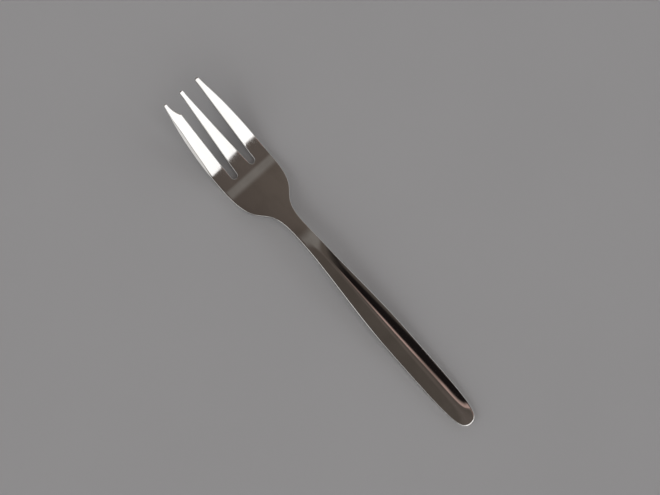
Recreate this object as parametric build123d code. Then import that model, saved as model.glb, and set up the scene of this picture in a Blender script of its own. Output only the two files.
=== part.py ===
from build123d import *
import math
import os

# A one-piece pastry fork, stamped from steel sheet, formed and polished.
# Frame: +X runs from the handle's end to the tine tips, +Y is the left side, where the cutting tine is,
# and +Z is up. The fork lies on the plane Z = 0, and the origin is under the middle of its length.

# Plan, in mm
overall_length = 150.0
head_width = 20.9
tip_row_width = 15.0        # outer edge to outer edge of the two side tines, at their tips
neck_width = 5.4
handle_width = 9.7
widest_head_from_tip = 29.0
shoulder_from_tip = 34.5    # where the head starts to draw in
neck_from_tip = 60.0        # where the fork is narrowest
shoulder_fullness = 18.6    # how far the head keeps its width before it turns in
neck_fullness = 15.0        # how far the neck keeps its width before it turns out
grip_from_end = 39.5        # where the handle is widest
end_fullness = 33.0         # how far the grip keeps its width before the end rounds off

# Tines and slots
slot_length = 33.3
slot_end_width = 2.2
slot_end_offset = 4.0       # from the fork's middle line to the middle of a slot's closed end
middle_tip_width = 1.35
plain_tip_width = 1.4
cutting_tip_width = 1.1
tip_corner_share = 0.44     # corner radius of a tip, as a share of that tip's width
notch_length = 5.8
notch_step = 1.9            # how far the notch steps out from the cutting tine's inner edge
notch_hollow = 0.5          # how far the notch's curve dips below its chord
notch_corner = 0.5

# Bevel along the outside of the cutting tine
bevel_width = 0.9
bevel_depth = 0.6           # of the bevel's outer edge below the top
bevel_from_tip = 10.0
bevel_length = 13.0
bevel_runout = 7.0          # over which the bevel narrows to nothing, past either end
bevel_blend = 2.0           # softness of the bevel's start and stop

# Side profile of the underside: straight runs joined by soft bends
knee_from_end = 30.0
crest_from_tip = 67.0
root_from_tip = 34.0
handle_rise = 4.4           # degrees
neck_fall = 11.0
tine_rise = 17.5
knee_bend = 15.0            # softness of each bend, in mm
crest_bend = 11.0
root_bend = 6.5
rest_flat = 0.15            # depth of the flat that the handle rests on
head_clearance = 0.02       # the head's lowest line above that flat

# Thickness along the middle line
end_thickness = 1.6
grip_thickness = 2.3
neck_thickness = 2.5
root_thickness = 1.8
tip_thickness = 1.1
end_taper = 13.0
thickness_blend = 8.0

# Ridge along the handle's top, sharp at the neck, softer towards the end, and gone at the end itself
ridge_slope = 14.0          # degrees, of each flank
ridge_from_tip = 68.0       # where the flat neck starts to turn into a ridge
ridge_runin = 8.0
ridge_blend = 3.0
ridge_soft_neck = 0.9
ridge_soft_end = 5.2
ridge_fade_from_end = 7.5
ridge_fade = 5.0            # over which the ridge fades out

# Edges: rounded along the top, broken flat along the underside
top_edge_round = 0.3
under_edge_break = 0.3

corner_share = 0.65         # an edge's size stays under this share of the tightest tip corner
wall_share = 0.4            # and under this share of the thinnest tip

overcut = 4.0               # how far the cutting shapes reach past the blank
fit_tolerance = 0.002       # of the formed faces to their formulas
count_along = 100           # places where the formed faces are worked out
count_over_top = 61
count_under = 5
bevel_count_along = 60
bevel_count_across = 7
search_count = 200          # places tried for the head's lowest line

tip_x = overall_length / 2
end_x = -overall_length / 2
slot_end_x = tip_x - slot_length
slot_round = slot_end_width / 2
neck_x = tip_x - neck_from_tip
crest_x = tip_x - crest_from_tip
root_x = tip_x - root_from_tip
knee_x = end_x + knee_from_end
grip_x = end_x + grip_from_end
narrowest_tip = min(middle_tip_width, plain_tip_width, cutting_tip_width)
edge_limit = min(corner_share * tip_corner_share * narrowest_tip, wall_share * tip_thickness)
top_round = min(top_edge_round, edge_limit)
under_break = min(under_edge_break, edge_limit)
sky = overall_length        # reach of the cutting shapes, up or down


def slope(degrees):
    return math.tan(math.radians(degrees))


def hinge(x, soft):
    """Zero well below x = 0 and x well above it, turning from one to the other over about 2 * soft."""
    return (x + math.hypot(x, soft)) / 2


def soft_line(x, points, softs):
    """Height at x of straight runs through the points, with each inner corner rounded by its softness."""
    runs = [(b[1] - a[1]) / (b[0] - a[0]) for a, b in zip(points, points[1:])]
    height = points[0][1] + runs[0] * (x - points[0][0])
    for corner, before, after, soft in zip(points[1:], runs, runs[1:], softs):
        height += (after - before) * hinge(x - corner[0], soft)
    return height


def bent_height(x):
    """The underside before the fork is set down: a level end, then three bends."""
    rise, fall, tines = slope(handle_rise), slope(neck_fall), slope(tine_rise)
    height = rise * hinge(x - knee_x, knee_bend)
    height -= (rise + fall) * hinge(x - crest_x, crest_bend)
    return height + (fall + tines) * hinge(x - root_x, root_bend)


def spread(first, last, count):
    return [first + (last - first) * i / (count - 1) for i in range(count)]


head_low_x = min(spread(neck_x, tip_x, search_count), key=bent_height)
rest_tilt = (bent_height(head_low_x) - bent_height(end_x)) / (head_low_x - end_x)


def underside(x):
    """The underside as the fork lies: the flat cuts into the handle's end, and the head just clears it."""
    level = bent_height(end_x) + rest_tilt * (x - end_x)
    lift = (rest_flat + head_clearance) * (x - end_x) / (head_low_x - end_x)
    return bent_height(x) - level - rest_flat + lift


def thickness(x):
    points = [
        (end_x, end_thickness),
        (end_x + end_taper, grip_thickness),
        (crest_x, neck_thickness),
        (root_x, root_thickness),
        (tip_x, tip_thickness),
    ]
    return soft_line(x, points, [thickness_blend] * len(points[1:-1]))


def ramp(x, length, soft):
    """Rises from 0 at x = 0 to 1 at x = length, with both ends softened."""
    return (hinge(x, soft) - hinge(x - length, soft)) / length


def ridge_drop(x, y):
    """How far the top lies below its middle line: two flanks that meet in a rounded ridge."""
    past_start = tip_x - ridge_from_tip - x
    past_fade = end_x + ridge_fade_from_end - x
    grown = ramp(past_start, ridge_runin, ridge_blend) * (1 - ramp(past_fade, ridge_fade, ridge_blend))
    soft_rate = (ridge_soft_end - ridge_soft_neck) / (overall_length - ridge_from_tip)
    soft = ridge_soft_neck + soft_rate * hinge(past_start, ridge_blend)
    return slope(ridge_slope) * grown * (math.hypot(y, soft) - soft)


def topside(x, y):
    return underside(x) + thickness(x) - ridge_drop(x, y)


def side_edge(x):
    """Half width of the head along the side tines: an arc that leaves the widest place level."""
    back = x - (tip_x - widest_head_from_tip)
    narrowing = (head_width - tip_row_width) / 2
    radius = (widest_head_from_tip**2 + narrowing**2) / (2 * narrowing)
    return head_width / 2 - radius + math.sqrt(radius**2 - back**2)


def surface(height, xs, ys):
    """A smooth face through height(x, y), where ys(x) lists the places across."""
    rows = [[Vector(x, y, height(x, y)) for y in ys(x)] for x in xs]
    return Face.make_surface_from_array_of_points(rows, tol=fit_tolerance, min_deg=3, max_deg=5)


def half_outline():
    """The blank's left outline, from the tip row round to the handle's end."""
    head, neck, grip = head_width / 2, neck_width / 2, handle_width / 2
    widest = (tip_x - widest_head_from_tip, head)
    shoulder = (tip_x - shoulder_from_tip, head)
    third = (neck_x - grip_x) / 3
    full_shoulder = (shoulder[0] - shoulder_fullness, head)
    return [
        Line((tip_x, 0), (tip_x, tip_row_width / 2)),
        TangentArc(widest, (tip_x, tip_row_width / 2), tangent=(1, 0)),
        Line(widest, shoulder),
        Bezier(shoulder, full_shoulder, (neck_x + neck_fullness, neck), (neck_x, neck)),
        Bezier((neck_x, neck), (neck_x - third, neck), (grip_x + third, grip), (grip_x, grip)),
        Bezier((grip_x, grip), (grip_x - end_fullness, grip), (end_x, grip), (end_x, 0)),
    ]


def slot_touch(tip, side):
    """Where a straight edge from a tine's tip touches the slot's round end: side -1 inside, 1 outside."""
    middle = Vector(slot_end_x + slot_round, slot_end_offset)
    reach = tip - middle
    turn = math.degrees(math.acos(slot_round / reach.length))
    return middle + reach.normalized().rotate(Axis.Z, side * turn) * slot_round


def along(a, b, x):
    """The point at x on the straight line through a and b."""
    return a + (b - a) * ((x - a.X) / (b.X - a.X))


def slot(inner_at_tip, outer_at_tip):
    """A tapered slot with a round end, on the left of the middle tine."""
    mouth = tip_x + overcut
    inner, outer = Vector(tip_x, inner_at_tip), Vector(tip_x, outer_at_tip)
    inner_touch, outer_touch = slot_touch(inner, -1), slot_touch(outer, 1)
    inner_mouth, outer_mouth = along(inner_touch, inner, mouth), along(outer_touch, outer, mouth)
    sides = Polyline(inner_touch, inner_mouth, outer_mouth, outer_touch)
    return make_face([sides, ThreePointArc(outer_touch, (slot_end_x, slot_end_offset), inner_touch)])


cutting_tip = Vector(tip_x, tip_row_width / 2 - cutting_tip_width - notch_step)
notch_back = along(slot_touch(cutting_tip, 1), cutting_tip, tip_x - notch_length)


def notch():
    """The hollow step at the cutting tine's tip, from the tine's inner edge out to its narrow tip."""
    front = Vector(tip_x, notch_back.Y + notch_step)
    run = front - notch_back
    deepest = notch_back + run / 2 + Vector(-run.Y, run.X).normalized() * notch_hollow
    mouth = tip_x + overcut
    slot_middle = (middle_tip_width / 2 + cutting_tip.Y) / 2
    sides = Polyline(front, (mouth, front.Y), (mouth, slot_middle), (notch_back.X, slot_middle), notch_back)
    return make_face([ThreePointArc(notch_back, deepest, front), sides])


def corners_at(face, places):
    """The face's corner nearest to each place."""
    return [min(face.vertices(), key=lambda v: (Vector(v) - place).length) for place in places]


def plan():
    """The fork seen from above: the blank with its slots and notch cut and its corners rounded."""
    left = half_outline()
    right = [mirror(curve, about=Plane.XZ) for curve in left]
    face = make_face(left + right)
    face -= slot(middle_tip_width / 2, cutting_tip.Y)
    face -= mirror(slot(middle_tip_width / 2, tip_row_width / 2 - plain_tip_width), about=Plane.XZ)
    face -= notch()
    tips = [
        (0, middle_tip_width),
        ((plain_tip_width - tip_row_width) / 2, plain_tip_width),
        ((tip_row_width - cutting_tip_width) / 2, cutting_tip_width),
    ]
    for middle, width in tips:
        places = [Vector(tip_x, middle - width / 2), Vector(tip_x, middle + width / 2)]
        face = fillet(corners_at(face, places), tip_corner_share * width)
    return fillet(corners_at(face, [notch_back]), notch_corner)


def broad_faces(body):
    """The underside and the top: the two largest faces, the lower one first."""
    return body.faces().sort_by(SortBy.AREA)[-2:].sort_by(Axis.Z)


def bevel_height(x, y):
    """The bevel's slope, which rises out of the steel past either end of its length."""
    start = tip_x - bevel_from_tip
    stop = start - bevel_length
    past_ends = hinge(x - start, bevel_blend) + hinge(stop - x, bevel_blend)
    above_edge = (side_edge(x) - y) / bevel_width + past_ends / bevel_runout
    return underside(x) + thickness(x) + bevel_depth * (above_edge - 1)


def bevel_cutter():
    start = tip_x - bevel_from_tip + bevel_runout
    stop = tip_x - bevel_from_tip - bevel_length - bevel_runout
    reach = 2 * bevel_width

    def across(x):
        return spread(side_edge(x) - reach, side_edge(x) + reach, bevel_count_across)

    face = surface(bevel_height, spread(start, stop, bevel_count_along), across)
    return Solid.extrude(face, Vector(0, 0, sky))


def pastry_fork():
    lengths = spread(end_x - overcut, tip_x + overcut, count_along)
    across = head_width / 2 + overcut
    top = surface(topside, lengths, lambda x: spread(-across, across, count_over_top))
    under = surface(
        lambda x, y: underside(x), lengths, lambda x: spread(-across, across, count_under)
    )
    body = extrude(Pos(0, 0, -sky) * plan(), 2 * sky)
    body -= Solid.extrude(top, Vector(0, 0, 2 * sky))
    body -= Solid.extrude(under, Vector(0, 0, -2 * sky))
    body = fillet(broad_faces(body)[1].edges(), top_round)
    body = chamfer(broad_faces(body)[0].edges(), under_break)
    body -= bevel_cutter()
    body -= Pos(0, 0, -sky / 2) * Box(2 * overall_length, 2 * head_width, sky)
    return body.solid()


os.makedirs("parts", exist_ok=True)
export_step(pastry_fork(), "parts/pastry_fork.step")
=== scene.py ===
import math

import bpy
import numpy as np
from mathutils import Matrix, Vector, kdtree
from mathutils.geometry import delaunay_2d_cdt


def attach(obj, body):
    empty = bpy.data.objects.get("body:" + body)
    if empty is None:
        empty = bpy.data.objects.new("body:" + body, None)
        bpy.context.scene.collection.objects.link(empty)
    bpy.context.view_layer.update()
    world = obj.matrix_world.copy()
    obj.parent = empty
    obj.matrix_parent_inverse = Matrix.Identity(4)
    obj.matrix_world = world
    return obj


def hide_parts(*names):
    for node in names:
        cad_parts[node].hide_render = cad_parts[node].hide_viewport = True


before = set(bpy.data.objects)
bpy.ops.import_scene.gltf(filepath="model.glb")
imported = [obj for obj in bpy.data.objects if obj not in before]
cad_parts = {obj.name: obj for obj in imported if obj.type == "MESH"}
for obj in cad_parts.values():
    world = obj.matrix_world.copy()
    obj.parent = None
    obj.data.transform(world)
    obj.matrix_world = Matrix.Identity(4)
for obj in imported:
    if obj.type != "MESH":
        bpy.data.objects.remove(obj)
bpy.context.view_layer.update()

MM = 0.001

# The fork's plan, in mm: +X to the tine tips, +Y to the cutting tine
TIP_X, END_X = 75.0, -75.0
HEAD_WIDTH, TIP_ROW_WIDTH, NECK_WIDTH, HANDLE_WIDTH = 20.9, 15.0, 5.4, 9.7
WIDEST_X, SHOULDER_X, NECK_X, GRIP_X = 46.0, 40.5, 15.0, -35.5
SHOULDER_FULLNESS, NECK_FULLNESS, END_FULLNESS = 18.6, 15.0, 33.0
SLOT_END_X, SLOT_END_OFFSET, SLOT_ROUND = 41.7, 4.0, 1.1
MIDDLE_TIP, PLAIN_TIP, CUTTING_TIP, TIP_CORNER_SHARE = 1.35, 1.4, 1.1, 0.44
NOTCH_LENGTH, NOTCH_STEP, NOTCH_HOLLOW, NOTCH_CORNER = 5.8, 1.9, 0.5, 0.5

# The edges' rounding, which shrinks to a share of itself over the last run up to the tips
EDGE_ROUND, TIP_EDGE_SHARE, TIP_EDGE_RUN = 0.3, 0.35, 3.0
EDGE_ANGLES = (90, 72, 54, 36, 18, 0)       # of the rows of points round an edge

# How the blank's points are set out
OUTLINE_STEP = 0.3              # between points along the outline
CURVE_OVER_CHORD = 1.1          # about how much longer a curve is than its chord
POINT_GAP = 0.004               # outline points that are no farther apart than this become one
TIP_ROOM = 0.8                  # left for the outer tips' corners at the end of the side tines' edges
SIDE_POINTS, SLOT_END_POINTS, CORNER_POINTS = 96, 16, 12
NOTCH_POINTS, NOTCH_CORNER_POINTS = 41, 7
NOTCH_LEAD, NOTCH_TAIL = 4, 5   # points at the notch's two ends that rounded corners replace
SHARPEST = 0.5                  # limits how far a sharp corner moves when the outline is inset
FACE_STEP = 0.32                # between points on the broad faces
FACE_ROOM, BEVEL_ROOM = 0.2, 0.1            # least distance of a face's or a bevel's point to those before
BEVEL_FROM_X, BEVEL_TO_X, BEVEL_STEP = 43.0, 73.0, 0.25
BEVEL_FIRST_ROW, BEVEL_LAST_ROW, BEVEL_ROW_STEP = 0.45, 1.5, 0.13
INSIDE_TRIANGLES, MERGE_DISTANCE = 1, 1e-6  # how the faces are cut into triangles
LOW_PLACES = 200                # tried from the neck to the tips to find the head's lowest line

# How the blank is formed: these sizes are the forming tree's inputs, in mm and degrees
FORM = {
    "tip_x": TIP_X,
    "end_x": END_X,
    "knee_x": -45.0,
    "crest_x": 8.0,
    "root_x": 41.0,
    "handle_rise": 4.4,
    "neck_fall": 11.0,
    "tine_rise": 17.5,
    "knee_bend": 15.0,
    "crest_bend": 11.0,
    "root_bend": 6.5,
    "rest_flat": 0.15,
    "head_clearance": 0.02,
    "end_thickness": 1.6,
    "grip_thickness": 2.3,
    "neck_thickness": 2.5,
    "root_thickness": 1.8,
    "tip_thickness": 1.1,
    "end_taper": 13.0,
    "thickness_blend": 8.0,
    "ridge_slope": 14.0,
    "ridge_start_x": 7.0,
    "ridge_runin": 8.0,
    "ridge_blend": 3.0,
    "ridge_soft_neck": 0.9,
    "ridge_soft_end": 5.2,
    "ridge_fade_x": -67.5,
    "ridge_fade": 5.0,
    "bevel_width": 0.9,
    "bevel_depth": 0.6,
    "bevel_start_x": 65.0,
    "bevel_stop_x": 52.0,
    "bevel_runout": 7.0,
    "bevel_blend": 2.0,
    "bevel_soft": 0.12,
}

# The steel's finish: noise scales are per metre, along the fork, across it and up
POLISHING_SCALE, POLISHING_DETAIL, POLISHING_ROUGHNESS = (70, 3200, 900), 3, 0.04
MARK_SCALE, MARK_DETAIL, MARK_ROUGHNESS = (95, 140, 140), 3, 0.04
MARK_EDGE = (0.35, 0.65)
SCRATCH_ALONG, SCRATCH_UP, SCRATCH_DETAIL, SCRATCH_ROUGHNESS = 120, 60, 1, 0.05
# Each set of scratches has a turn of its noise, so that the sets differ, and a scale across
SCRATCH_SETS = ((17, 2300), (-31, 2900), (64, 2600))
SCRATCH_EDGE = (0.735, 0.775)
LEAST_ROUGHNESS = 0.02
STEEL_COLOURS = ((0.6, 0.585, 0.565, 1), (0.67, 0.655, 0.635, 1))
BUMP_SHARE, BUMP_STRENGTH, BUMP_DISTANCE = 0.5, 0.012, 0.00002

# The floor, in metres
FLOOR_REACH, FLOOR_LEVEL = 4.0, -0.00002
FLOOR_COLOURS = ((0.63, 0.63, 0.64, 1), (0.67, 0.67, 0.68, 1))
CLOUD_SCALE, CLOUD_DETAIL, FLOOR_ROUGHNESS = 14.0, 3.0, 0.75

# The room as the fork sees it. Each part of it has soft edges: a direction, where the edge starts and where
# it ends. "along" and "across" are degrees from straight up towards +X and +Y, "down" is degrees from
# straight up, "x" and "y" are the plain direction, and the other three are worked out in studio_world
ROOM = {
    "panel": (
        ("along", -35.0, -30.0),
        ("near", -24.0, -24.6),
        ("across", -30.0, -20.0),
        ("across", 44.0, -6.0),
    ),
    "panel_step": (("across", -12.2, -10.6),),
    "overhead": (
        ("along", -3.0, 2.0),
        ("along", 12.5, 7.5),
        ("across", -26.0, -18.0),
        ("across", -7.0, -10.4),
    ),
    "slim": (("low", -24.5, -19.5), ("across", -17.4, -18.6), ("along", -24.5, -23.5)),
    "slim_narrow": (("along", -16.6, -17.2),),
    "slim_faint": (("along", -9.5, -12.5),),
    "slim_strong": (("along", -15.0, -15.8),),
    "glow": (("across", -17.0, -11.8), ("across", -5.0, -9.8), ("along", 4.0, -1.0)),
    "dark": (("across", -35.5, -33.5), ("across", -21.0, -24.0), ("along", -4.0, -13.0)),
    "right_ceiling": (("across", -10.0, -13.0),),
    "head_ceiling": (("along", -14.0, 12.0),),
    "walls": (("down", 42.0, 54.0),),
    "left_wall": (("y", 0.10, 0.75),),
    "right_wall": (("y", -0.30, -0.80),),
    "wall_gap": (("x", -0.15, -0.22), ("x", -0.56, -0.48), ("down", 63.0, 69.0)),
    "low_side": (("aside", 0.20, 0.50), ("down", 62.0, 72.0)),
    "back_side": (("x", -0.45, -0.70),),
}
# How far the panel's near edge steps and the slim light narrows, in degrees, and "aside" leans to -X
PANEL_STEP, SLIM_NARROWING, SIDE_SKEW = 1.2, 1.2, 0.5
SLIM_FAINT, SLIM_STRONG = 0.38, 0.62        # shares of the slim light's strength
ROOM_COLOURS = {
    "panel": (1.74, 1.74, 1.75, 1),
    "overhead": (0.225, 0.207, 0.192, 1),
    "slim": (0.60, 0.42, 0.38, 1),
    "glow": (0.130, 0.108, 0.096, 1),
    "dark": (0.010, 0.008, 0.008, 1),
    "handle_ceiling": (0.096, 0.081, 0.070, 1),
    "left_ceiling": (0.104, 0.085, 0.074, 1),
    "right_ceiling": (0.137, 0.113, 0.097, 1),
    "wall": (0.32, 0.32, 0.33, 1),
    "left_wall": (0.97, 0.97, 0.97, 1),
    "right_wall": (0.64, 0.64, 0.65, 1),
    "low_side": (1.4, 1.4, 1.4, 1),
    "back_side": (1.05, 1.05, 1.05, 1),
}

# The camera's angles in degrees, its place in metres, its lens in mm
CAMERA_TILT, CAMERA_AZIMUTH, CAMERA_TURN = 11.81, 76.26, 61.60
CAMERA_DISTANCE, CAMERA_TARGET = 0.4369, (0.00288, -0.00389, 0.0030)
CAMERA_LENS, CAMERA_SENSOR = 70.0, 36.0
CAMERA_NEAR, CAMERA_FAR = 0.01, 50.0

# Places of sockets on Blender's nodes
GENERATED, OBJECT = 0, 3
MIX_FACTOR, MIX_FIRST, MIX_SECOND, MIX_RESULT = 0, 6, 7, 2


class Link:
    """A node's output that adds Math nodes to its tree when it is used in an expression."""

    def __init__(self, nodes, socket):
        self.nodes = nodes
        self.socket = socket

    def maths(self, operation, *others):
        return self.nodes.maths(operation, self, *others)

    def __add__(self, other):
        return self.maths("ADD", other)

    __radd__ = __add__

    def __sub__(self, other):
        return self.maths("SUBTRACT", other)

    def __rsub__(self, other):
        return self.nodes.maths("SUBTRACT", other, self)

    def __mul__(self, other):
        return self.maths("MULTIPLY", other)

    __rmul__ = __mul__

    def __truediv__(self, other):
        return self.maths("DIVIDE", other)

    def __rtruediv__(self, other):
        return self.nodes.maths("DIVIDE", other, self)


class Nodes:
    """A node tree that is written as expressions."""

    def __init__(self, tree):
        self.tree = tree

    def node(self, kind, inputs=(), output=0, **settings):
        """Adds a node and returns one of its outputs, or the node itself where it has none."""
        made = self.tree.nodes.new(kind)
        for name, value in settings.items():
            setattr(made, name, value)
        for key, value in dict(inputs).items():
            if isinstance(value, Link):
                self.tree.links.new(value.socket, made.inputs[key])
            else:
                made.inputs[key].default_value = value
        return Link(self, made.outputs[output]) if len(made.outputs) else made

    def maths(self, operation, *values):
        return self.node("ShaderNodeMath", enumerate(values), operation=operation)

    def mix(self, first, second, factor):
        inputs = {MIX_FACTOR: factor, MIX_FIRST: first, MIX_SECOND: second}
        return self.node("ShaderNodeMix", inputs, output=MIX_RESULT, data_type="RGBA")

    def step(self, value, low, high):
        """0 below low and 1 above high, with a smooth change between.
        Where low is the larger, it is 1 below high and 0 above low."""
        inputs = {"Value": value, "From Min": low, "From Max": high}
        return self.node("ShaderNodeMapRange", inputs, interpolation_type="SMOOTHSTEP")

    def parts(self, vector):
        split = self.node("ShaderNodeSeparateXYZ", {0: vector})
        return [Link(self, socket) for socket in split.socket.node.outputs]


def root(value):
    return value.maths("SQRT") if isinstance(value, Link) else math.sqrt(value)


def slope(degrees):
    if isinstance(degrees, Link):
        return degrees.maths("RADIANS").maths("TANGENT")
    return math.tan(math.radians(degrees))


def hinge(x, soft):
    """Zero well below x = 0 and x well above it, turning from one to the other over about 2 * soft."""
    return (x + root(x * x + soft * soft)) / 2


def bent_height(x, size):
    """The underside before the fork is set down: a level end, then three bends."""
    rise, fall, tines = slope(size["handle_rise"]), slope(size["neck_fall"]), slope(size["tine_rise"])
    height = rise * hinge(x - size["knee_x"], size["knee_bend"])
    height = height - (rise + fall) * hinge(x - size["crest_x"], size["crest_bend"])
    return height + (fall + tines) * hinge(x - size["root_x"], size["root_bend"])


def underside(x, size):
    """The underside as the fork lies: on a flat at the handle's end, with the head just clear."""
    return bent_height(x, size) - size["set_down"] - size["set_tilt"] * (x - size["end_x"])


def thickness(x, size):
    """The steel's thickness along the fork: straight tapers between five places, blended."""
    grip_x = size["end_x"] + size["end_taper"]
    places = [size["end_x"], grip_x, size["crest_x"], size["root_x"], size["tip_x"]]
    names = ["end_thickness", "grip_thickness", "neck_thickness", "root_thickness", "tip_thickness"]
    runs = [
        (size[names[i + 1]] - size[names[i]]) / (places[i + 1] - places[i])
        for i in range(len(places) - 1)
    ]
    height = size[names[0]] + runs[0] * (x - places[0])
    for place, before, after in zip(places[1:], runs, runs[1:]):
        height = height + (after - before) * hinge(x - place, size["thickness_blend"])
    return height


def ramp(x, length, soft):
    """Rises from 0 at x = 0 to 1 at x = length, with both ends softened."""
    return (hinge(x, soft) - hinge(x - length, soft)) / length


def ridge_drop(x, y, size):
    """How far the top lies below its middle line: two flanks that meet in a rounded ridge."""
    past = size["ridge_start_x"] - x
    blend = size["ridge_blend"]
    faded = ramp(size["ridge_fade_x"] - x, size["ridge_fade"], blend)
    grown = ramp(past, size["ridge_runin"], blend) * (1 - faded)
    rate = (size["ridge_soft_end"] - size["ridge_soft_neck"]) / (size["ridge_start_x"] - size["end_x"])
    soft = size["ridge_soft_neck"] + rate * hinge(past, blend)
    return slope(size["ridge_slope"]) * grown * (root(y * y + soft * soft) - soft)


def side_edge(x):
    """Half width of the head along the side tines: level up to the widest place, then an arc."""
    narrowing = (HEAD_WIDTH - TIP_ROW_WIDTH) / 2
    radius = ((TIP_X - WIDEST_X) ** 2 + narrowing**2) / (2 * narrowing)
    back = (x - WIDEST_X).maths("MAXIMUM", 0.0) if isinstance(x, Link) else max(x - WIDEST_X, 0.0)
    return HEAD_WIDTH / 2 - radius + root(radius * radius - back * back)


def bevel_height(x, y, size):
    """The bevel along the cutting tine's outside, which rises out of the steel past either end."""
    past_start = hinge(x - size["bevel_start_x"], size["bevel_blend"])
    past_stop = hinge(size["bevel_stop_x"] - x, size["bevel_blend"])
    above_edge = (side_edge(x) - y) / size["bevel_width"] + (past_start + past_stop) / size["bevel_runout"]
    return underside(x, size) + thickness(x, size) + size["bevel_depth"] * (above_edge - 1)


def set_down():
    """Adds to the forming sizes how far and at what tilt the bent blank is set down on the table."""
    places = np.linspace(NECK_X, TIP_X, LOW_PLACES)
    low_x = min(places, key=lambda x: bent_height(float(x), FORM))
    span = low_x - END_X
    at_end, at_low = bent_height(END_X, FORM), bent_height(float(low_x), FORM)
    FORM["set_down"] = at_end + FORM["rest_flat"]
    lift = FORM["rest_flat"] + FORM["head_clearance"]
    FORM["set_tilt"] = float((at_low - at_end - lift) / span)


def line(a, b):
    """Points from a up to, but not at, b."""
    count = max(1, round(math.dist(a, b) / OUTLINE_STEP))
    return [tuple(np.array(a) + (np.array(b) - np.array(a)) * i / count) for i in range(count)]


def bezier(a, b, c, d):
    """Points along a cubic curve from a up to, but not at, d."""
    count = round(CURVE_OVER_CHORD * math.dist(a, d) / OUTLINE_STEP)
    made = []
    for t in np.arange(count) / count:
        weights = ((1 - t) ** 3, 3 * t * (1 - t) ** 2, 3 * t * t * (1 - t), t**3)
        made.append(tuple(sum(w * np.array(p) for w, p in zip(weights, (a, b, c, d)))))
    return made


def turn_points(centre, start, stop, count):
    """Points on the arc round centre from start to stop, the short way, both ends among them."""
    centre, start, stop = (np.array(p, float) for p in (centre, start, stop))
    first = math.atan2(*(start - centre)[::-1])
    sweep = math.remainder(math.atan2(*(stop - centre)[::-1]) - first, 2 * math.pi)
    radius = math.dist(start, centre)
    angles = first + sweep * np.linspace(0, 1, count)
    return [(centre[0] + radius * math.cos(a), centre[1] + radius * math.sin(a)) for a in angles]


def corner(before, place, after, radius, count=CORNER_POINTS):
    """The rounded corner at a place between two straight edges."""
    before, place, after = (np.array(p, float) for p in (before, place, after))
    u = (before - place) / math.dist(before, place)
    v = (after - place) / math.dist(after, place)
    half = math.acos(float(np.clip(u @ v, -1, 1))) / 2
    reach = radius / math.tan(half)
    middle = (u + v) / np.linalg.norm(u + v)
    centre = place + middle * radius / math.sin(half)
    return turn_points(centre, place + u * reach, place + v * reach, count)


def slot_touch(tip, side):
    """Where a straight edge from a tine's tip touches the slot's round end: side -1 inside, 1 outside."""
    middle = np.array((SLOT_END_X + SLOT_ROUND, SLOT_END_OFFSET))
    reach = np.array(tip) - middle
    length = np.linalg.norm(reach)
    turn = side * math.acos(SLOT_ROUND / length)
    c, s = math.cos(turn), math.sin(turn)
    turned = np.array((c * reach[0] - s * reach[1], s * reach[0] + c * reach[1]))
    return middle + turned / length * SLOT_ROUND


def slot_end(inner, outer):
    """The round closed end of the left slot, from its inner to its outer edge."""
    middle = (SLOT_END_X + SLOT_ROUND, SLOT_END_OFFSET)
    deepest = (SLOT_END_X, SLOT_END_OFFSET)
    first = turn_points(middle, inner, deepest, SLOT_END_POINTS)
    return first[:-1] + turn_points(middle, deepest, outer, SLOT_END_POINTS)


def flipped(points):
    return [(x, -y) for x, y in reversed(points)]


def half_outline():
    """The left outline from near the outer tip round to the handle's end, which is left off."""
    head, half_neck, half_grip = HEAD_WIDTH / 2, NECK_WIDTH / 2, HANDLE_WIDTH / 2
    arc_x = np.linspace(TIP_X - TIP_ROOM, WIDEST_X, SIDE_POINTS)[:-1]
    third = (NECK_X - GRIP_X) / 3
    shoulder, neck, grip = (SHOULDER_X, head), (NECK_X, half_neck), (GRIP_X, half_grip)
    full_shoulder, full_neck = (SHOULDER_X - SHOULDER_FULLNESS, head), (NECK_X + NECK_FULLNESS, half_neck)
    return [
        *((float(x), side_edge(float(x))) for x in arc_x),
        *line((WIDEST_X, head), shoulder),
        *bezier(shoulder, full_shoulder, full_neck, neck),
        *bezier(neck, (NECK_X - third, half_neck), (GRIP_X + third, half_grip), grip),
        *bezier(grip, (GRIP_X - END_FULLNESS, half_grip), (END_X, half_grip), (END_X, 0)),
    ]


def notch_points(back, front):
    """The notch's hollow curve, from its back to the narrow tip."""
    run = front - back
    chord = np.linalg.norm(run)
    across = np.array((-run[1], run[0])) / chord
    radius = (chord**2 / 4 + NOTCH_HOLLOW**2) / (2 * NOTCH_HOLLOW)
    centre = back + run / 2 + across * (NOTCH_HOLLOW - radius)
    return turn_points(centre, back, front, NOTCH_POINTS)


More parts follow.
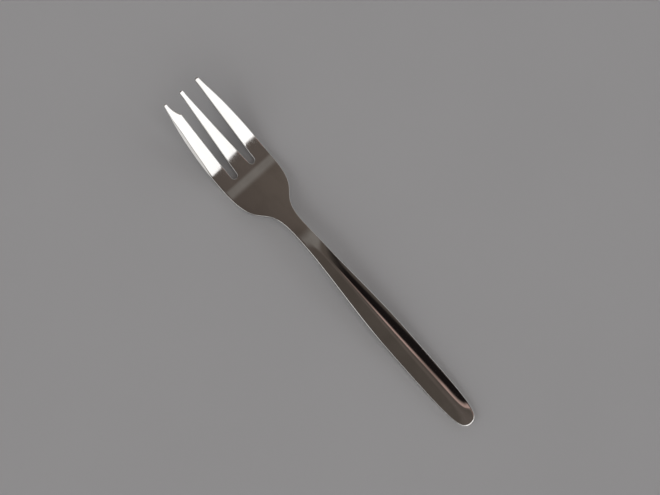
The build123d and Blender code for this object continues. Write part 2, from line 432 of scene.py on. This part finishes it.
def outline():
    """The whole plan outline, once round, turning left."""
    half_row = TIP_ROW_WIDTH / 2
    plain_inner = half_row - PLAIN_TIP
    middle = MIDDLE_TIP / 2
    cutting_inner = (TIP_X, half_row - CUTTING_TIP - NOTCH_STEP)
    left = half_outline()

    plain_touch = slot_touch((TIP_X, plain_inner), 1)
    middle_touch = slot_touch((TIP_X, middle), -1)
    cutting_touch = slot_touch(cutting_inner, 1)
    share = (TIP_X - NOTCH_LENGTH - cutting_touch[0]) / (TIP_X - cutting_touch[0])
    notch_back = cutting_touch + (np.array(cutting_inner) - cutting_touch) * share
    notch_front = np.array((TIP_X, notch_back[1] + NOTCH_STEP))
    hollow = notch_points(notch_back, notch_front)

    plain_corner, middle_corner, cutting_corner = (
        TIP_CORNER_SHARE * width for width in (PLAIN_TIP, MIDDLE_TIP, CUTTING_TIP)
    )
    outer_tip = (TIP_X, half_row)
    plain_tip_inner = corner(plain_touch, (TIP_X, plain_inner), outer_tip, plain_corner)
    plain_tip_outer = corner((TIP_X, plain_inner), outer_tip, left[0], plain_corner)
    middle_tip = corner((TIP_X, -middle), (TIP_X, middle), middle_touch, middle_corner)
    right_slot = [
        *line(middle_tip[-1], middle_touch),
        *slot_end(middle_touch, plain_touch),
        *line(plain_touch, plain_tip_inner[0])[1:],
    ]
    left_slot = [
        *line(middle_tip[-1], middle_touch),
        *slot_end(middle_touch, cutting_touch),
        *line(cutting_touch, notch_back)[1:-1],
    ]
    points = [
        *left,
        (END_X, 0.0),
        *flipped(left[1:]),
        (left[0][0], -left[0][1]),
        *flipped(plain_tip_inner + plain_tip_outer),
        *flipped(right_slot),
        *flipped(middle_tip),
        *middle_tip,
        *left_slot,
        *corner(cutting_touch, notch_back, hollow[NOTCH_LEAD], NOTCH_CORNER, NOTCH_CORNER_POINTS),
        *hollow[NOTCH_LEAD:-NOTCH_TAIL],
        *corner(hollow[-NOTCH_TAIL - 1], notch_front, outer_tip, cutting_corner),
        *corner(notch_front, outer_tip, left[0], cutting_corner),
    ]
    made = [points[0]]
    for point in points[1:]:
        if math.dist(point, made[-1]) > POINT_GAP:
            made.append(point)
    return np.array(made)


def inset(points, depth):
    """The closed outline moved inwards by a depth."""
    edges = np.roll(points, -1, 0) - points
    edges /= np.linalg.norm(edges, axis=1)[:, None]
    normals = np.stack((-edges[:, 1], edges[:, 0]), 1)
    joint = normals + np.roll(normals, 1, 0)
    joint /= np.linalg.norm(joint, axis=1)[:, None]
    widen = np.maximum(SHARPEST, np.sum(joint * normals, 1))
    return points + joint * (depth / widen)[:, None]


def inside(places, loop):
    """Which places lie inside the closed loop."""
    found = np.zeros(len(places), bool)
    x, y = places[:, 0], places[:, 1]
    for (ax, ay), (bx, by) in zip(loop, np.roll(loop, -1, 0)):
        crossing = (ay > y) != (by > y)
        if ay != by:
            found ^= crossing & (x < (bx - ax) * (y - ay) / (by - ay) + ax)
    return found


def face_points(loop):
    """Points that fill a broad face: close rows along the bevel, then an even staggered grid."""
    bevel_x = np.arange(BEVEL_FROM_X, BEVEL_TO_X, BEVEL_STEP)
    bevel_rows = np.arange(BEVEL_FIRST_ROW, BEVEL_LAST_ROW, BEVEL_ROW_STEP)
    bevel = [(x, side_edge(float(x)) - depth) for depth in bevel_rows for x in bevel_x]
    row_step = FACE_STEP * math.sin(math.radians(60))       # makes triangles with equal sides
    grid = []
    for j, y in enumerate(np.arange(-HEAD_WIDTH / 2, HEAD_WIDTH / 2, row_step)):
        shift = FACE_STEP / 2 * (j % 2)
        grid.extend((x, y) for x in np.arange(END_X + shift, TIP_X, FACE_STEP))
    made = []
    taken = [tuple(p) for p in loop]
    for group, room in ((bevel, BEVEL_ROOM), (grid, FACE_ROOM)):
        tree = kdtree.KDTree(len(taken))
        for i, (x, y) in enumerate(taken):
            tree.insert((x, y, 0), i)
        tree.balance()
        group = np.array(group)
        group = group[inside(group, loop)]
        kept = [tuple(p) for p in group if tree.find((p[0], p[1], 0))[2] > room]
        made.extend(kept)
        taken.extend(kept)
    return made


def blank():
    """The flat blank: rows of its outline from the underside's inner edge round to the top's, and two
    broad faces. Each point holds its level, 0 on the underside and 1 on the top, and its drop, the height
    that the rounded edge takes off the top or adds to the underside."""
    loop = outline()
    near_tip = np.clip((loop[:, 0] - TIP_X) / TIP_EDGE_RUN + 1, 0, 1)
    share = 1 - (1 - TIP_EDGE_SHARE) * near_tip
    angles = np.radians(EDGE_ANGLES)
    under = [(EDGE_ROUND * (1 - math.cos(a)), 0.0, EDGE_ROUND * (1 - math.sin(a))) for a in angles]
    halfway = (0.0, 0.5, 0.0)
    over = [(depth, 1.0, -drop) for depth, level, drop in reversed(under)]
    rows = [*under, halfway, *over]
    count = len(loop)
    points, levels, drops, faces = [], [], [], []
    for depth, level, drop in rows:
        points.extend(map(tuple, inset(loop, depth * share)))
        levels += [level] * count
        drops += list(drop * share)
    for row in range(len(rows) - 1):
        low, high = row * count, (row + 1) * count
        for i in range(count):
            j = (i + 1) % count
            faces.append((low + i, low + j, high + j, high + i))

    inner = inset(loop, EDGE_ROUND * share)
    filling = face_points(inner)
    flat = [Vector(p) for p in [*map(tuple, inner), *filling]]
    edges = [(i, (i + 1) % count) for i in range(count)]
    cut = delaunay_2d_cdt(flat, edges, [], INSIDE_TRIANGLES, MERGE_DISTANCE)
    out_points, _, triangles, origins, *_ = cut
    top_row = (len(rows) - 1) * count
    for level, edge_row in ((0.0, 0), (1.0, top_row)):
        start = len(points)
        points.extend(filling)
        levels += [level] * len(filling)
        drops += [0.0] * len(filling)
        place = [edge_row + o[0] if o[0] < count else start + o[0] - count for o in origins]
        for a, b, c in triangles:
            turn = (out_points[b] - out_points[a]).cross(out_points[c] - out_points[a])
            upward = (a, b, c) if turn > 0 else (a, c, b)
            faces.append(tuple(place[i] for i in (upward if level else reversed(upward))))

    mesh = bpy.data.meshes.new("fork_blank")
    mesh.from_pydata([(x * MM, y * MM, 0.0) for x, y in points], [], faces)
    for name, values in (("level", levels), ("drop", drops)):
        mesh.attributes.new(name, "FLOAT", "POINT").data.foreach_set("value", values)
    return mesh


def forming_tree(steel):
    """Geometry Nodes that bend, thicken, ridge and bevel the flat blank."""
    tree = bpy.data.node_groups.new("form_the_fork", "GeometryNodeTree")
    tree.interface.new_socket("Blank", in_out="INPUT", socket_type="NodeSocketGeometry")
    for name in FORM:
        tree.interface.new_socket(name, in_out="INPUT", socket_type="NodeSocketFloat")
    tree.interface.new_socket("Fork", in_out="OUTPUT", socket_type="NodeSocketGeometry")
    nodes = Nodes(tree)
    flat = nodes.node("NodeGroupInput", output="Blank")
    given = flat.socket.node.outputs
    size = {name: Link(nodes, given[name]) for name in FORM}

    def attribute(name):
        return nodes.node("GeometryNodeInputNamedAttribute", {"Name": name}, data_type="FLOAT")

    across = nodes.parts(nodes.node("GeometryNodeInputPosition"))
    x, y = across[0] / MM, across[1] / MM
    low = underside(x, size)
    steel_height = thickness(x, size) - ridge_drop(x, y, size)
    formed = low + attribute("level") * steel_height + attribute("drop")
    formed = formed.maths("SMOOTH_MIN", bevel_height(x, y, size), size["bevel_soft"])
    height = formed.maths("MAXIMUM", 0.0) * MM
    place = nodes.node("ShaderNodeCombineXYZ", {0: across[0], 1: across[1], 2: height})
    moved = nodes.node("GeometryNodeSetPosition", {"Geometry": flat, "Position": place})
    smooth = nodes.node("GeometryNodeSetShadeSmooth", {"Geometry": moved})
    whole = nodes.node("GeometryNodeRealizeInstances", {"Geometry": smooth})
    dressed = nodes.node("GeometryNodeSetMaterial", {"Geometry": whole, "Material": steel})
    nodes.node("NodeGroupOutput", {"Fork": dressed})
    return tree


def formed_fork(steel):
    """The fork as one plain mesh, formed from its blank."""
    set_down()
    tree = forming_tree(steel)
    source = bpy.data.objects.new("fork_blank", blank())
    bpy.context.scene.collection.objects.link(source)
    modifier = source.modifiers.new("form", "NODES")
    modifier.node_group = tree
    for item in tree.interface.items_tree:
        if item.in_out == "INPUT" and item.name in FORM:
            modifier[item.identifier] = FORM[item.name]
    evaluated = source.evaluated_get(bpy.context.evaluated_depsgraph_get())
    mesh = bpy.data.meshes.new_from_object(evaluated)
    source.modifiers.clear()
    bpy.data.objects.remove(source)
    for name in ("level", "drop"):
        mesh.attributes.remove(mesh.attributes[name])
    fork = bpy.data.objects.new("formed_fork", mesh)
    bpy.context.scene.collection.objects.link(fork)
    return fork


def new_material(name):
    """A material with its nodes, its surface shader and the place on the object."""
    material = bpy.data.materials.new(name)
    material.use_nodes = True
    nodes = Nodes(material.node_tree)
    shader = material.node_tree.nodes["Principled BSDF"]
    return material, nodes, shader, nodes.node("ShaderNodeTexCoord", output=OBJECT)


def polished_steel():
    """Polished stainless steel with fine polishing lines, handling marks and a few hair scratches."""
    material, nodes, shader, place = new_material("polished_steel")

    def pattern(scale, detail, turn=0):
        turned = (0, 0, math.radians(turn))
        mapped = nodes.node("ShaderNodeMapping", {"Vector": place, "Rotation": turned, "Scale": scale})
        return nodes.node("ShaderNodeTexNoise", {"Vector": mapped, "Scale": 1.0, "Detail": detail})

    polishing = pattern(POLISHING_SCALE, POLISHING_DETAIL)
    marks = pattern(MARK_SCALE, MARK_DETAIL)
    scratches = 0
    for turn, scale_across in SCRATCH_SETS:
        hairs = pattern((SCRATCH_ALONG, scale_across, SCRATCH_UP), SCRATCH_DETAIL, turn)
        scratches = scratches + nodes.step(hairs, *SCRATCH_EDGE)
    scratches = scratches.maths("MINIMUM", 1.0)
    roughness = LEAST_ROUGHNESS + polishing * POLISHING_ROUGHNESS
    roughness = roughness + marks * MARK_ROUGHNESS + scratches * SCRATCH_ROUGHNESS
    colour = nodes.mix(*STEEL_COLOURS, nodes.step(marks, *MARK_EDGE))
    height = polishing * BUMP_SHARE - scratches * BUMP_SHARE
    bump = nodes.node(
        "ShaderNodeBump",
        {"Height": height, "Strength": BUMP_STRENGTH, "Distance": BUMP_DISTANCE},
    )
    for name, value in (("Base Color", colour), ("Roughness", roughness), ("Normal", bump)):
        material.node_tree.links.new(value.socket, shader.inputs[name])
    shader.inputs["Metallic"].default_value = 1.0
    return material


def table_floor():
    """A plain pale floor, very faintly clouded."""
    material, nodes, shader, place = new_material("pale_floor")
    inputs = {"Vector": place, "Scale": CLOUD_SCALE, "Detail": CLOUD_DETAIL}
    cloud = nodes.node("ShaderNodeTexNoise", inputs)
    colour = nodes.mix(*FLOOR_COLOURS, cloud)
    material.node_tree.links.new(colour.socket, shader.inputs["Base Color"])
    shader.inputs["Roughness"].default_value = FLOOR_ROUGHNESS
    mesh = bpy.data.meshes.new("floor")
    square = ((-1, -1), (1, -1), (1, 1), (-1, 1))
    corners = [(x * FLOOR_REACH, y * FLOOR_REACH, FLOOR_LEVEL) for x, y in square]
    mesh.from_pydata(corners, [], [(0, 1, 2, 3)])
    mesh.materials.append(material)
    floor = bpy.data.objects.new("floor", mesh)
    bpy.context.scene.collection.objects.link(floor)


def studio_world():
    """A dim warm ceiling with a faint glow that the tines' roots mirror, a bright panel past the handle's
    end for the tines, a weak strip overhead for the head, and a dark strip and a slim light, first faint
    and then strong, for the handle's ridge. Pale walls stand round it, brighter on the cutting tine's
    side, where they have a gap and a low side light."""
    world = bpy.data.worlds.new("studio")
    bpy.context.scene.world = world
    world.use_nodes = True
    nodes = Nodes(world.node_tree)
    x, y, z = nodes.parts(nodes.node("ShaderNodeTexCoord", output=GENERATED))
    ways = {
        "x": x,
        "y": y,
        "along": x.maths("ARCTAN2", z).maths("DEGREES"),
        "across": y.maths("ARCTAN2", z).maths("DEGREES"),
        "down": z.maths("ARCCOSINE").maths("DEGREES"),
        "aside": y - x * SIDE_SKEW,
    }

    def within(name):
        """1 inside all the edges of a part of the room, 0 outside."""
        return math.prod(nodes.step(ways[way], start, end) for way, start, end in ROOM[name])

    ways["near"] = ways["along"] - PANEL_STEP * within("panel_step")
    ways["low"] = ways["across"] - SLIM_NARROWING * within("slim_narrow")
    slim = within("slim") * (SLIM_FAINT * within("slim_faint") + SLIM_STRONG * within("slim_strong"))
    no_gap = 1 - within("wall_gap")

    colours = ROOM_COLOURS
    ceiling = nodes.mix(colours["left_ceiling"], colours["right_ceiling"], within("right_ceiling"))
    light = nodes.mix(colours["handle_ceiling"], ceiling, within("head_ceiling"))
    for name in ("glow", "overhead", "dark"):
        light = nodes.mix(light, colours[name], within(name))
    light = nodes.mix(light, colours["slim"], slim)
    wall = nodes.mix(colours["wall"], colours["left_wall"], within("left_wall") * no_gap)
    wall = nodes.mix(wall, colours["right_wall"], within("right_wall"))
    light = nodes.mix(light, wall, within("walls"))
    side = nodes.mix(colours["low_side"], colours["back_side"], within("back_side"))
    light = nodes.mix(light, side, within("low_side") * no_gap)
    light = nodes.mix(light, colours["panel"], within("panel"))
    background = world.node_tree.nodes["Background"]
    world.node_tree.links.new(light.socket, background.inputs["Color"])


def photo_camera():
    """The camera at the photo's place: nearly overhead, a little to the cutting tine's side."""
    tilt, azimuth, turn = (math.radians(angle) for angle in (CAMERA_TILT, CAMERA_AZIMUTH, CAMERA_TURN))
    back = Vector((math.sin(tilt) * math.cos(azimuth), math.sin(tilt) * math.sin(azimuth), math.cos(tilt)))
    level = Vector((0, 0, 1)).cross(back).normalized()
    rising = back.cross(level)
    right = math.cos(turn) * level + math.sin(turn) * rising
    up = math.cos(turn) * rising - math.sin(turn) * level
    data = bpy.data.cameras.new("camera")
    data.lens, data.sensor_width = CAMERA_LENS, CAMERA_SENSOR
    data.clip_start, data.clip_end = CAMERA_NEAR, CAMERA_FAR
    camera = bpy.data.objects.new("camera", data)
    bpy.context.scene.collection.objects.link(camera)
    placed = Matrix((right, up, back)).transposed().to_4x4()
    placed.translation = Vector(CAMERA_TARGET) + back * CAMERA_DISTANCE
    camera.matrix_world = placed
    bpy.context.scene.camera = camera


bpy.context.scene.view_settings.view_transform = "Standard"
photo_camera()
studio_world()
table_floor()
fork = formed_fork(polished_steel())
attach(fork, "root")
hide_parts("pastry_fork")
